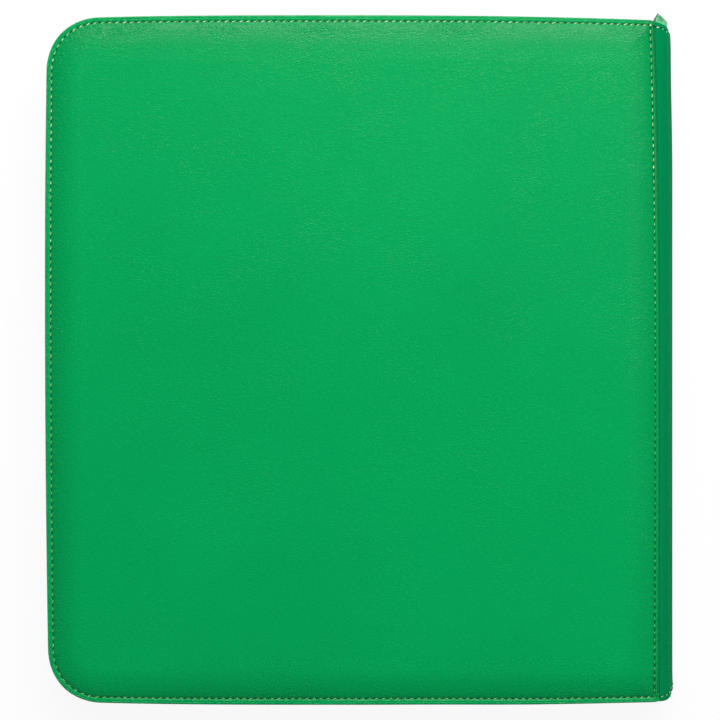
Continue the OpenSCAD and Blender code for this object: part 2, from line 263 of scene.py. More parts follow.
def sewnThread(name, colour, pale):
    # green where it lies flat, with a painted highlight toward the end where it comes up through the leather,
    # and that painted highlight strongest toward the top, where the light comes from
    material, tree, shader = startMaterial(name)
    place = objectPlace(tree)
    fibre = noise(tree, place, 2600.0)
    way = axes(tree, markPlace(tree, "stitchWay"))["X"]
    highlit = plus(tree, way, remap(tree, noise(tree, place, 160.0), 0.3, 0.7, -0.3, 0.3))
    level = axes(tree, place)["Y"]
    highlit = plus(tree, highlit, ramp(tree, level, -0.16, 0.17, -0.3, 0.0))
    mixed = addNode(tree, "Mix", data_type="RGBA")
    feed(tree, ramp(tree, highlit, 0.3, 0.85), mixed.inputs[0])
    mixed.inputs[6].default_value, mixed.inputs[7].default_value = (*colour, 1), (*pale, 1)
    feed(tree, mixed.outputs[2], shader.inputs["Base Color"])
    setInputs(shader, {"Roughness": 0.55, "Sheen Weight": 0.2})
    bump(tree, times(tree, fibre, 0.05 * mm), shader)
    return material


def finishMesh(name, bm):
    mesh = bpy.data.meshes.new(name)
    bm.to_mesh(mesh)
    bm.free()
    return mesh


def addObject(name, data):
    made = bpy.data.objects.new(name, data)
    bpy.context.scene.collection.objects.link(made)
    return made


def makePiece(name, bm, material, flip=False, sharp=None):
    # from a bmesh in millimetres; flip gives the front cover's copy
    if flip:
        for vert in bm.verts:
            vert.co.z = album["thickness"] - vert.co.z
        bmesh.ops.reverse_faces(bm, faces=bm.faces)
    bmesh.ops.scale(bm, vec=(mm, mm, mm), verts=bm.verts)
    for face in bm.faces:
        face.smooth = True
    mesh = finishMesh(name, bm)
    mesh.materials.append(material)
    if sharp:
        mesh.set_sharp_from_angle(angle=math.radians(sharp))
    return addObject(name, mesh)


def faceOutwards(bm):
    bmesh.ops.recalc_face_normals(bm, faces=bm.faces)


def roundEdges(piece, width, segments, angle):
    edge = piece.modifiers.new("edge", "BEVEL")
    edge.width = width * mm
    edge.segments = segments
    edge.limit_method = "ANGLE"
    edge.angle_limit = math.radians(angle)


def thicken(piece, thickness):
    solid = piece.modifiers.new("thickness", "SOLIDIFY")
    solid.thickness = thickness * mm
    solid.offset = -1
    roundEdges(piece, 0.25, 2, 50)


def makeSlab(bm, height):
    # raises a sheet into a closed slab
    grown = bmesh.ops.extrude_face_region(bm, geom=list(bm.faces))["geom"]
    lifted = [item for item in grown if isinstance(item, bmesh.types.BMVert)]
    bmesh.ops.translate(bm, vec=(0, 0, height), verts=lifted)
    faceOutwards(bm)


def ease(value):
    value = min(max(value, 0.0), 1.0)
    return value * value * (3 - 2 * value)


# How the soft leather is drawn out of true: over at the fold and ridge, askew at the fore edge, and in at the
# ends; "from" is where that sets in, and "over" the length it grows over
drawnFold = {"top": -2.8, "bottom": -0.1, "from": 130.0}
drawnRidge = {"flare": 0.35, "flareFrom": 165, "flareOver": 15, "bend": 0.85, "bendFrom": 100, "bendOver": 70,
              "tip": 0.45, "tipFrom": 169, "tipOver": 11}
askew = {"slope": -0.6, "shift": -0.05, "least": -0.35, "most": 0.55}
sag = {"top": 0.15, "topMore": 0.6, "topFrom": 70, "topOver": 94, "topPower": 1.5,
       "bottom": 0.4, "bottomMore": 0.6, "bottomFrom": 30, "bottomOver": 80,
       "corner": 0.6, "cornerFrom": 160.5, "cornerOver": 3.75, "cornerPower": 3}


def foldDraw(y):
    # how far the fold line is drawn over at y
    return drawnFold["top" if y > 0 else "bottom"] * (y / halfH) ** 2


def spineDraw(y):
    # how far the ridge of the spine is drawn over at y
    flare = drawnRidge["flare"] * max((-y - drawnRidge["flareFrom"]) / drawnRidge["flareOver"], 0) ** 2
    bend = drawnRidge["bend"] * ease((y - drawnRidge["bendFrom"]) / drawnRidge["bendOver"])
    return flare - bend - drawnRidge["tip"] * max((y - drawnRidge["tipFrom"]) / drawnRidge["tipOver"], 0)


def sagged(x, v):
    # how far an end of the cover is drawn in at x; v is 1 at its top edge and -1 at its bottom edge
    top = sag["top"] + sag["topMore"] * max((x - sag["topFrom"]) / sag["topOver"], 0) ** sag["topPower"]
    bottom = sag["bottom"] + sag["bottomMore"] * ease((x - sag["bottomFrom"]) / sag["bottomOver"])
    tip = max((x - sag["cornerFrom"]) / sag["cornerOver"], 0) ** sag["cornerPower"]
    return top * max(v, 0) + bottom * max(-v, 0) + sag["corner"] * v * tip


def bowed(x, y):
    # bows the edges of the cover out, and draws its fold line over
    u, v = x / foldX, y / halfH
    reach = min(max((x - drawnFold["from"]) / (foldX - drawnFold["from"]), 0), 1) ** 2
    lean = min(max(askew["slope"] * v + askew["shift"], askew["least"]), askew["most"])
    fore = album["foreBow"] * (1 - v * v) * max(-u, 0) ** album["bowPower"]
    across = x - fore + foldDraw(y) * reach + lean * (1 - u) / 2
    fade = 1 - abs(u) ** album["forePower" if u < 0 else "foldPower"]
    y += album["edgeBow"] * v * abs(v) ** album["bowPower"] * fade - sagged(x, v)
    if u < arcX / foldX and abs(v) > arcY / halfH:  # the corners stand a little fuller than a true arc
        out = Vector((x - arcX, v * halfH - math.copysign(arcY, v)))
        angle = math.atan2(-out.x, abs(out.y))
        push = album["fullCorner"] * math.sin(2 * angle) ** 2 * (out.length / corner) ** 2
        across, y = Vector((across, y)) + out.normalized() * push
    return across, y


def moveIn(p, start, end, atFold=True):
    # moves a point of the cover's outline from one inset to another, at the fold as well or not
    if p.x > arcX and not atFold:
        return p.x, p.y + math.copysign(1, p.y) * (start - end)
    if p.x > arcX:
        x = arcX + (p.x - arcX) * (foldX - arcX - end) / (foldX - arcX - start)
        return x, p.y * (halfH - end) / (halfH - start)
    if abs(p.y) > arcY:
        middle = Vector((arcX, math.copysign(arcY, p.y)))
        return middle + (p.xy - middle) * (corner - end) / (corner - start)
    return p.x + end - start, p.y


def outlineFace(step, arcSegments):
    # one face with the outline of the cover: a sheet whose two fore-edge corners are rounded
    bm = bmesh.new()
    bmesh.ops.create_grid(bm, x_segments=1, y_segments=1, size=0.5)
    bmesh.ops.scale(bm, vec=(2 * foldX, 2 * halfH, 1), verts=bm.verts)
    foreCorners = [vert for vert in bm.verts if vert.co.x < 0]
    bmesh.ops.bevel(bm, geom=foreCorners, offset=corner, affect="VERTICES", segments=arcSegments, profile=0.5,
                    material=-1)
    for edge in [edge for edge in bm.edges if edge.calc_length() > 50]:
        bmesh.ops.subdivide_edges(bm, edges=[edge], cuts=2 * int(edge.calc_length() / step / 2) + 1)
    return bm


def growRing(bm, edges, start, end, height, atFold=True):
    grown = bmesh.ops.extrude_edge_only(bm, edges=edges)["geom"]
    fresh = {item for item in grown if isinstance(item, bmesh.types.BMVert)}
    for vert in fresh:
        x, y = moveIn(vert.co, start, end, atFold)
        vert.co = (x, y, height)
    return list({edge for vert in fresh for edge in vert.link_edges if edge.other_vert(vert) in fresh})


# Sewn rows: stitches counted along each stretch of a cover's edge, and down the row beside its fold
stitchCounts = {"top": 77, "bottom": 80, "arc": 10, "halfFore": 40}
edgeRow = {"layer": "edgeRow", "pitch": 3.95, "inset": 2.75, "edge": True, "dip": 0, "shade": 0.84}
foldRow = {"layer": "foldRow", "pitch": 3.85, "inset": 2.2, "edge": False, "dip": 0.28, "shade": 0.88,
           "turned": 0.6, "start": -178.6, "end": 182.6, "count": 94, "spread": 0.5, "lean": math.radians(-4),
           "unmarked": 30}
endRow = {"layer": "endRow", "pitch": 3.3, "inset": 2.6, "edge": False, "dip": 0.2, "shade": 0, "lift": 0.04,
          "lean": 0.15, "length": 0.65}
wallRow = {"layer": "wallRow", "pitch": 3.95, "inset": 1.4, "edge": False, "dip": 0.2, "shade": 0}
thread = {"radius": 0.28, "chord": 2.8, "rise": 0.55, "sides": 6, "steps": 5, "slant": math.radians(27),
          "downSlant": math.radians(14)}


def endCount(y):
    return stitchCounts["top" if y > 0 else "bottom"]


def rowPlace(x, y):
    # place along a cover's edge, counted in stitches, and the inset from it
    count = endCount(y)
    away = abs(y)
    if x < arcX and away > arcY:
        angle = math.atan2(arcX - x, away - arcY)
        return count + angle / (math.pi / 2) * stitchCounts["arc"], corner - math.hypot(arcX - x, away - arcY)
    if halfH - away < x + foldX:
        return (foldX - x) / (foldX - arcX) * count, halfH - away
    return count + stitchCounts["arc"] + (arcY - away) / arcY * stitchCounts["halfFore"], x + foldX


def rowPoint(place, side, inset):
    # the other way round: the point of a row at a place counted in stitches
    count = endCount(side)
    if place <= count:
        return Vector((foldX - place / count * (foldX - arcX), side * (halfH - inset)))
    place -= count
    if place <= stitchCounts["arc"]:
        angle = place / stitchCounts["arc"] * math.pi / 2
        reach = corner - inset
        return Vector((arcX - math.sin(angle) * reach, side * (arcY + math.cos(angle) * reach)))
    down = (place - stitchCounts["arc"]) / stitchCounts["halfFore"]
    return Vector((inset - foldX, side * arcY * (1 - down)))


def oneStitch():
    # an arched stitch along X, spun about an axis under it
    half = thread["chord"] / 2
    bend = (half * half + thread["rise"] ** 2) / (2 * thread["rise"])
    sweep = math.asin(half / bend)
    bm = bmesh.new()
    bmesh.ops.create_circle(bm, segments=thread["sides"], radius=thread["radius"], cap_ends=True)
    bmesh.ops.rotate(bm, verts=bm.verts, matrix=Matrix.Rotation(math.pi / 2, 3, "Y"))
    bmesh.ops.rotate(bm, verts=bm.verts, cent=(0, 0, -bend), matrix=Matrix.Rotation(-sweep, 3, "Y"))
    geom = list(bm.verts) + list(bm.edges) + list(bm.faces)
    bmesh.ops.spin(bm, geom=geom, cent=(0, 0, -bend), axis=(0, 1, 0), angle=2 * sweep, steps=thread["steps"])
    faceOutwards(bm)
    return finishMesh("stitch", bm)


stitchMesh = oneStitch()


def addStitch(bm, place, along, up, lean=0.0, length=1.0):
    way = bm.loops.layers.uv.get("stitchWay") or bm.loops.layers.uv.new("stitchWay")
    bm.from_mesh(stitchMesh)
    bm.verts.ensure_lookup_table()
    fresh = bm.verts[-len(stitchMesh.vertices):]
    for vert in fresh:
        for loop in vert.link_loops:
            loop[way].uv = (vert.co.x / thread["chord"] + 0.5, 0.5)
    along, up = Vector(along).normalized(), Vector(up).normalized()
    frameTurn = Matrix((along, up.cross(along), up)).transposed().to_4x4()
    shape = Matrix.Rotation(lean, 4, "Z") @ Matrix.Diagonal((length, 1, 1, 1))
    bmesh.ops.transform(bm, matrix=Matrix.Translation(place) @ frameTurn @ shape, verts=fresh)


def rowLean(along):
    # threads lean one way on rows that run left and right, and half as far the other way on rows up and down
    level = abs(along.normalized().x)
    return thread["slant"] * level - thread["downSlant"] * (1 - level)


def roundTheEdge(side):
    return range(endCount(side) + stitchCounts["arc"] + stitchCounts["halfFore"])


def stitchSpots(index, side, inset):
    # a little before the middle of a stitch, at it and a little past it
    return [rowPoint(index + step, side, inset) for step in (0.3, 0.5, 0.7)]


# A cover's threads: their heights over the rim, inside and at the fold, and their wear down the sides
sewing = {"over": 45.66, "lifted": 0.08, "uneven": 0.05, "inside": 41.95, "topFrom": 174, "wornHigh": 0.76,
          "wornLow": 0.64, "atFold": 45.74, "sunk": 0.13, "shorter": 0.25, "sunkOver": 300}


def coverStitches(name, flip, material):
    bm = bmesh.new()
    for side in (1, -1):
        for index in roundTheEdge(side):
            spots = stitchSpots(index, side, edgeRow["inset"])
            before, place, after = [Vector(bowed(*spot)) for spot in spots]
            along = after - before
            worn = 1 if place.y > sewing["topFrom"] else sewing["wornHigh" if place.y > 0 else "wornLow"]
            lean, length = rowLean(along), random.uniform(0.92, 1.06) * worn
            if along.x + along.y > 0:  # each thread comes up at its lower left
                along = -along
            height = sewing["over"] + sewing["lifted"] * worn
            height += random.uniform(-sewing["uneven"], sewing["uneven"])
            addStitch(bm, (*place, height), (*along, 0), (0, 0, 1), lean, length)
            addStitch(bm, (*place, sewing["inside"]), (*along, 0), (0, 0, -1), -lean, length)
    pitch = (foldRow["end"] - foldRow["start"]) / foldRow["count"]
    for index in range(foldRow["count"]):
        y = foldRow["start"] + pitch * (index + 0.5)
        x = foldX - foldRow["inset"] - foldRow["spread"] * (y / halfH) ** 2
        place = Vector(bowed(x, y))
        along = Vector(bowed(x, y - 1)) - place
        sunk = ease(0.5 - y / sewing["sunkOver"])
        length = random.uniform(0.82, 0.96) - sewing["shorter"] * sunk
        height = sewing["atFold"] - sewing["sunk"] * sunk
        addStitch(bm, (*place, height), (*along, 0), (0, 0, 1), foldRow["lean"], length)
    return makePiece(name, bm, material, flip)


# Padded cover: a leather shell round board and foam, with a rolled edge, a sewn rim and a swollen field
padding = {"rim": 46.0, "rise": 2.0, "start": 3.2, "width": 14.0, "power": 2.3, "groove": 0.4,
           "grooveWidth": 0.55, "crease": 0.16, "creaseInset": 1.12, "creaseWidth": 0.14, "under": 41.8,
           "skin": 1.0, "roll": 0.9, "foam": 14.4, "foamTop": 47.0, "field": 24.0, "cell": 13.0}
swelling = {"voxel": 5.0, "depth": 12.0, "heldBelow": 0.6, "heldPast": 3, "topAbove": 0.8, "pressure": 4.0,
            "frames": 20, "cap": 12.0, "soft": 1.1, "share": 0.2, "sharePace": 2.5, "near": 6, "blur": 0.5}


def swollenField():
    # a coarse pad, pinned along the sewn row, is blown up as cloth; tells how far places rise, from 0 to 1
    bm = outlineFace(5.0, 12)
    for vert in bm.verts:
        vert.co.xy = moveIn(vert.co, 0, padding["start"])
    makeSlab(bm, swelling["depth"])
    pad = makePiece("coarsePad", bm, None)
    remesh = pad.modifiers.new("remesh", "REMESH")
    remesh.mode = "VOXEL"
    remesh.voxel_size = swelling["voxel"] * mm
    graph = bpy.context.evaluated_depsgraph_get()
    coarse = bpy.data.meshes.new_from_object(pad.evaluated_get(graph))
    pad.modifiers.clear()
    pad.data = coarse
    sewn = pad.vertex_groups.new(name="sewn")
    held = [vert.index for vert in coarse.vertices
            if vert.co.z < swelling["depth"] * swelling["heldBelow"] * mm
            or rowPlace(*(vert.co.xy / mm))[1] < padding["start"] + swelling["heldPast"]]
    sewn.add(held, 1.0, "REPLACE")
    cloth = pad.modifiers.new("cloth", "CLOTH")
    cloth.settings.vertex_group_mass = "sewn"
    cloth.settings.use_pressure = True
    cloth.settings.uniform_pressure_force = swelling["pressure"]
    cloth.settings.effector_weights.gravity = 0.0
    cloth.point_cache.frame_start, cloth.point_cache.frame_end = 1, swelling["frames"]
    scene = bpy.context.scene
    for step in range(1, swelling["frames"] + 1):
        scene.frame_set(step)
    graph = bpy.context.evaluated_depsgraph_get()
    blown = bpy.data.meshes.new_from_object(pad.evaluated_get(graph))
    topFrom = swelling["depth"] * swelling["topAbove"] * mm
    top = [index for index, vert in enumerate(coarse.vertices) if vert.co.z > topFrom]
    tree = KDTree(len(top))
    rises = {}
    for index in top:
        start = coarse.vertices[index].co
        rise = min(max((blown.vertices[index].co.z - start.z) / mm, 0.0), swelling["cap"])
        rises[index] = rise / (rise + swelling["soft"])
        tree.insert((start.x / mm, start.y / mm, 0), index)
    tree.balance()
    scene.frame_set(1)
    bpy.data.objects.remove(pad)
    least, most = [round(pick(rises.values()), 3) for pick in (min, max)]
    print("swelling", len(coarse.vertices), "points, from", least, "to", most)
    return tree, rises


def rollHeight(inset, swollen=None):
    # pillowed rim, crease beside the rolled edge, sewn groove and padded roll
    roll = min(max((inset - padding["start"]) / padding["width"], 0), 1)
    share = 1 - (1 - roll) ** padding["power"]
    if swollen is not None:
        share += (swollen - share) * swelling["share"] * ease(roll * swelling["sharePace"])
    groove = padding["groove"] * math.exp(-((inset - edgeRow["inset"]) / padding["grooveWidth"]) ** 2)
    crease = padding["crease"] * math.exp(-((inset - padding["creaseInset"]) / padding["creaseWidth"]) ** 2)
    return padding["rim"] + padding["rise"] * share - groove - crease


def coverLeather(name, flip, material, field):
    bm = outlineFace(2.0, 28)
    for vert in bm.verts:
        vert.co = (*moveIn(vert.co, 0, padding["foam"]), padding["foamTop"])
    bmesh.ops.reverse_faces(bm, faces=bm.faces)
    under, rim, skin, roll = padding["under"], padding["rim"], padding["skin"], padding["roll"]
    quarter = [i * math.pi / 10 for i in range(6)]
    # out over the foam, down inside the edge and in under the board, then back out, up and in over the top
    section = [(8.2, 46.5), (5.6, 45.05), (skin, 45.0), (skin, under + skin)]
    section += [(14.0, under + skin), (13.9, under)]
    section += [(skin - skin * math.sin(a), under + skin - skin * math.cos(a)) for a in quarter]
    section += [(roll - roll * math.cos(a), rim - roll + roll * math.sin(a)) for a in quarter]
    insets = [0.97, 1.04, 1.12, 1.2, 1.28, 1.5, 1.8, 2.0, 2.2, 2.4, 2.58, 2.75, 2.92, 3.1, 3.4, 3.8, 4.2, 4.8,
              5.5, 6.5, 7.7, 9.1, 10.7, 12.5, 14.6, 17.2, 20.5, padding["field"]]
    section += [(inset, rollHeight(inset)) for inset in insets]
    edges, last = list(bm.edges), padding["foam"]
    for inset, height in section:
        edges = growRing(bm, edges, last, inset, height)
        last = inset
    middle = bmesh.ops.contextual_create(bm, geom=edges)["faces"]
    geom = middle + list(middle[0].edges) + list(middle[0].verts)
    for axis, reach in ((0, foldX), (1, halfH)):
        lines = int(2 * reach / padding["cell"])
        normal = Vector((1 - axis, axis, 0))
        for index in range(1, lines):
            at = normal * (2 * reach * index / lines - reach)
            geom = bmesh.ops.bisect_plane(bm, geom=geom, plane_co=at, plane_no=normal, dist=1e-4)["geom"]
    faceOutwards(bm)
    edgeLayer = bm.loops.layers.uv.new(edgeRow["layer"])
    foldLayer = bm.loops.layers.uv.new(foldRow["layer"])
    for face in bm.faces:
        for loop in face.loops:
            x, y = loop.vert.co.xy
            loop[edgeLayer].uv = rowPlace(x, y)
            place = (y - foldRow["start"]) / (foldRow["end"] - foldRow["start"]) * foldRow["count"]
            inset = foldX - x - foldRow["spread"] * (y / halfH) ** 2
            loop[foldLayer].uv = (place, foldRow["unmarked"] if place < -0.3 else inset)  # none past its end
    for vert in bm.verts:
        x, y, z = vert.co
        inset = min(rowPlace(x, y)[1], foldX - x)
        if field and z > rim and inset > padding["start"]:
            tree, rises = field
            found = tree.find_n((x, y, 0), swelling["near"])
            near = [(rises[index], 1 / (gap + swelling["blur"])) for place, index, gap in found]
            swollen = sum(rise * weight for rise, weight in near) / sum(weight for rise, weight in near)
            vert.co.z = rollHeight(inset, swollen)
        vert.co.xy = bowed(x, y)
    piece = makePiece(name, bm, material, flip)
    print(name, len(piece.data.polygons), "faces")
    return piece


def plainStock(name, colour, scale, spread, depth, roughness):
    # board, card, foam and moulded plastic: a little unevenness of tone and surface
    material, tree, shader = startMaterial(name)
    place = objectPlace(tree)
    fine = noise(tree, place, scale * 6)
    tint(tree, colour, remap(tree, noise(tree, place, scale, 4.0), 0.3, 0.7, 1 - spread, 1 + spread), shader)
    feed(tree, remap(tree, fine, 0.3, 0.7, roughness - 0.05, roughness + 0.05), shader.inputs["Roughness"])
    setInputs(shader, {"Specular IOR Level": 0.4})
    bump(tree, times(tree, fine, depth), shader)
    return material


coverGreen = (0.0, 0.352, 0.09)
coverSkin = leatherette("coverLeatherette", coverGreen, [edgeRow, foldRow])
# the spine and fold leather take a darker copy of the cover's green: painted shade for their slopes, which
# face away from the light
shadedSpineGreen = (0.0, 0.24, 0.077)
# the fold leather carries a painted highlight along its ridge, about 8 mm along the strip
ridgedRow = dict(endRow, ridge=8.0)
spineSkin = leatherette("spineLeatherette", shadedSpineGreen, [endRow], depth=0.7, rough=0.6, specular=0.01)
foldSkin = leatherette("foldLeatherette", shadedSpineGreen, [ridgedRow], depth=0.7, rough=0.6, specular=0.01)
gussetSkin = leatherette("gussetLeatherette", (0.0, 0.31, 0.09), [wallRow], depth=0.8)
threadFinish = sewnThread("paleGreenThread", (0.16, 0.48, 0.12), (0.86, 0.88, 0.6))

greyBoard = plainStock("greyBoard", (0.33, 0.29, 0.22), 300.0, 0.12, 0.03 * mm, 0.85)


def coverBoard(name, flip, material):
    # grey board that follows the drawn-in outline of its leather
    low, high = [Vector(point).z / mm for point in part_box("back_board")]
    bm = outlineFace(6.0, 14)
    for vert in bm.verts:
        vert.co = (*bowed(*moveIn(vert.co, 0, padding["skin"] + 0.15)), low)
    makeSlab(bm, high - low)
    return makePiece(name, bm, material, flip, sharp=40)


print("covers")
field = swollenField()
for side, flip in (("back", False), ("front", True)):
    cover = coverLeather(side + "CoverLeather", flip, coverSkin, field)
    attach(cover, side + "_cover")
    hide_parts(side + "_skin")
    stitches = coverStitches(side + "CoverStitches", flip, threadFinish)
    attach(stitches, side + "_cover")
    board = coverBoard(side + "CoverBoard", flip, greyBoard)
    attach(board, side + "_cover")
    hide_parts(side + "_board")


# Gusset and zip tape: strips that stand round three sides of a cover, open at the fold
gusset = {"thickness": 0.95, "rowHeight": 34.15, "rowInset": 3.5, "lean": 0.1, "length": 0.95, "short": 0.5,
          "section": [(3.45, 41.85), (3.3, 40.6), (3.2, 38.8), (3.2, 36.8), (3.28, 35.3), (3.42, 34.6),
                      (3.46, 34.15), (3.4, 33.7), (3.4, 33.15), (3.55, 32.75)]}
zipTape = {"thickness": 0.7, "threads": 1.9, "depth": 0.09,
           "section": [(4.4, 35.8), (4.4, 32.0), (4.42, 30.0), (4.4, 27.5)]}


def wallStrip(name, flip, material, section, thickness):
    bm = outlineFace(4.0, 16)
    bmesh.ops.delete(bm, geom=list(bm.faces), context="FACES_ONLY")
    atFold = [edge for edge in bm.edges if all(vert.co.x > foldX - 0.01 for vert in edge.verts)]
    bmesh.ops.delete(bm, geom=atFold, context="EDGES")
    inset, height = section[0]
    for vert in bm.verts:
        vert.co = (*moveIn(vert.co, 0, inset, False), height)
    ends = [vert for vert in bm.verts if vert.co.x > foldX - 0.01]
    bmesh.ops.translate(bm, vec=(-gusset["short"], 0, 0), verts=ends)
    edges, last = list(bm.edges), inset
    for inset, height in section[1:]:
        edges = growRing(bm, edges, last, inset, height, atFold=False)
        last = inset
    faceOutwards(bm)
    foremost = min(bm.faces, key=lambda face: face.calc_center_median().x)
    if foremost.normal.x > 0:
        bmesh.ops.reverse_faces(bm, faces=bm.faces)
    row = bm.loops.layers.uv.new(wallRow["layer"])
    for face in bm.faces:
        side = 1 if face.calc_center_median().y > 0 else -1
        for loop in face.loops:
            x, y, z = loop.vert.co
            loop[row].uv = (side * rowPlace(x, y)[0], z - section[-1][1])
    piece = makePiece(name, bm, material, flip)
    thicken(piece, thickness)
    return piece


def gussetStitches(name, flip, material):
    bm = bmesh.new()
    for side in (1, -1):
        for index in roundTheEdge(side)[1:]:
            before, place, after = stitchSpots(index, side, gusset["rowInset"])
            along = after - before
            outward = Vector((along.y, -along.x, 0)) * -side
            spot = (*place, gusset["rowHeight"])
            addStitch(bm, spot, (*along, 0), outward, gusset["lean"], gusset["length"])
    return makePiece(name, bm, material, flip)


def wovenTape(name, colour):
    # herringbone, whose rows run with the tape
    material, tree, shader = startMaterial(name)
    place = axes(tree, markPlace(tree, wallRow["layer"]))
    along = times(tree, place["X"], wallRow["pitch"] * zipTape["threads"])
    rise = times(tree, place["Y"], zipTape["threads"])
    zigzag = maths(tree, "PINGPONG", rise, 1.0)
    rib = maths(tree, "PINGPONG", plus(tree, along, zigzag), 0.5)
    row = remap(tree, maths(tree, "PINGPONG", rise, 0.5), 0.0, 0.12, 0.55, 1.0)
    woven = times(tree, ramp(tree, rib, 0.05, 0.4), row)
    tint(tree, colour, remap(tree, woven, 0.0, 1.0, 0.55, 1.1), shader)
    setInputs(shader, {"Roughness": 0.8, "Sheen Weight": 0.25})
    bump(tree, times(tree, woven, zipTape["depth"] * mm), shader)
    return material


print("gussets and tapes")
tapeCloth = wovenTape("greenZipTape", (0.0, 0.25, 0.075))
for side, flip in (("back", False), ("front", True)):
    strip = wallStrip(side + "GussetLeather", flip, gussetSkin, gusset["section"], gusset["thickness"])
    tape = wallStrip(side + "TapeCloth", flip, tapeCloth, zipTape["section"], zipTape["thickness"])
    stitches = gussetStitches(side + "GussetStitches", flip, threadFinish)
    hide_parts(side + "_gusset")
    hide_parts(side + "_zip_tape")
    for piece, slot in ((strip, "green_gusset"), (tape, "green_tape"), (stitches, "green_tape")):
        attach(piece, side + "_cover")


# Spine, and the leather that folds from it to each cover
spine = {"axisX": 138.23, "radius": 35.12, "low": 9.4, "high": 38.6, "half": 14.6, "steps": 16, "rows": 180,
         "thickness": 0.95, "stitches": 9,
         "top": {"end": 181.3, "fall": 2.1, "power": 2.0, "over": 2.8, "overPower": 0.35},
         "bottom": {"end": 183.7, "fall": 1.9, "power": 3.0, "over": 3.1, "overPower": 0.35}}
fold = {"thickness": 0.9, "high": (169.9, 39.2), "low": (164.4, 45.2), "stitches": 3, "lead": 0.55,
        "section": [(163.7, 42.7), (164.1, 43.7), (164.65, 44.3), (165.25, 44.2), (166.0, 43.7),
                    (166.8, 43.0), (167.6, 42.15), (168.4, 41.25), (169.15, 40.35), (169.75, 39.5),
                    (170.15, 38.75), (170.55, 37.9), (170.95, 37.0), (171.3, 36.2)],
        "shares": [0, 0, 0, 0.1, 0.22, 0.36, 0.5, 0.64, 0.76, 0.87, 0.95, 1.0, 1.05, 1.1]}
spineTall = spine["high"] - spine["low"]
heights = [spine["low"] + spineTall * i / spine["steps"] for i in range(spine["steps"] + 1)]
spineSection = [(spine["axisX"] + math.sqrt(spine["radius"] ** 2 - (z - middleZ) ** 2), z) for z in heights]
spineShares = [1 + math.cos((z - middleZ) / spine["half"] * math.pi / 2) for z in heights]


def lengthsOf(section):
    lengths = [0.0]
    for start, end in zip(section, section[1:]):
        lengths.append(lengths[-1] + math.dist(start, end))
    return lengths


def stripReach(end, share):
    # how far a strip reaches at one end; share goes from 0 at the cover to 1 at the ridge, and to 2 past it
    past = end["over"] * max(share - 1, 0) ** end["overPower"]
    return end["end"] - end["fall"] * min(share, 1.0) ** end["power"] - past


def stripPoint(section, shares, index, up):
    # a point of a strip that runs the length of the spine; up goes from 0 at its lower end to 1
    share = shares[index]
    high, low = stripReach(spine["top"], share), -stripReach(spine["bottom"], share)
    y = low + (high - low) * up
    draw = foldDraw(y) * (1 - min(share, 1)) + spineDraw(y) * min(share, 1)
    return Vector((section[index][0] + draw, y, section[index][1])), min(high - y, y - low)


def leatherStrip(section, shares, lead=0.0):
    bm = bmesh.new()
    bmesh.ops.create_grid(bm, x_segments=len(section) - 1, y_segments=spine["rows"], size=0.5)
    layer = bm.loops.layers.uv.new(endRow["layer"])
    lengths, places = lengthsOf(section), {}
    for vert in bm.verts:
        index = round((vert.co.x + 0.5) * (len(section) - 1))
        vert.co, inset = stripPoint(section, shares, index, vert.co.y + 0.5)
        places[vert] = (lengths[index] / endRow["pitch"] - lead, inset)
    for face in bm.faces:
        for loop in face.loops:
            loop[layer].uv = places[loop.vert]
    faceOutwards(bm)
    if sum(face.normal.x for face in bm.faces) < 0:  # the leather faces away from the leaves
        bmesh.ops.reverse_faces(bm, faces=bm.faces)
    return bm


def endStitches(name, section, shares, count, lead, material, flip=False):
    # rows of stitches across both ends of a strip; lead is how many pitches the row starts late
    bm = bmesh.new()
    lengths = lengthsOf(section)
    for index in range(count):
        at = (index + 0.5 + lead) * endRow["pitch"]
        near = max(i for i, length in enumerate(lengths[:-1]) if length <= at)
        part = (at - lengths[near]) / (lengths[near + 1] - lengths[near])
        for end in (0, 1):
            start, stop = [stripPoint(section, shares, near + i, end)[0] for i in (0, 1)]
            place = start.lerp(stop, part) + Vector((0, endRow["inset"] * (1 - 2 * end), 0))
            along = stop - start
            up = Vector((along.z, 0, -along.x)) * math.copysign(1, along.z)
            place += up.normalized() * endRow["lift"]
            addStitch(bm, place, -along, up, endRow["lean"], endRow["length"])
    return makePiece(name, bm, material, flip)


def ridesFold(piece, flip):
    # bakes the piece's placement into its mesh, the same way for either cover
    if flip:
        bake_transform(piece)
    else:
        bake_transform(piece)


print("spine and folds")
spineLeather = makePiece("spineLeather", leatherStrip(spineSection, spineShares), spineSkin)
thicken(spineLeather, spine["thickness"])
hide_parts("spine_skin")
spineStitches = endStitches("spineStitches", spineSection, spineShares, spine["stitches"], 0.0, threadFinish)
for piece, slot in ((spineLeather, "spine_leatherette"), (spineStitches, "green_tape")):
    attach(piece, "spine")
for side, flip in (("back", False), ("front", True)):
    foldStrip = leatherStrip(fold["section"], fold["shares"], fold["lead"])
    foldLeather = makePiece(side + "FoldLeather", foldStrip, foldSkin, flip)
    thicken(foldLeather, fold["thickness"])
    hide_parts(side + "_fold_welt")
    stitches = endStitches(side + "FoldStitches", fold["section"], fold["shares"], fold["stitches"],
                           fold["lead"], threadFinish, flip)
    for piece, slot in ((foldLeather, "spine_leatherette"), (stitches, "green_tape")):
        ridesFold(piece, flip)


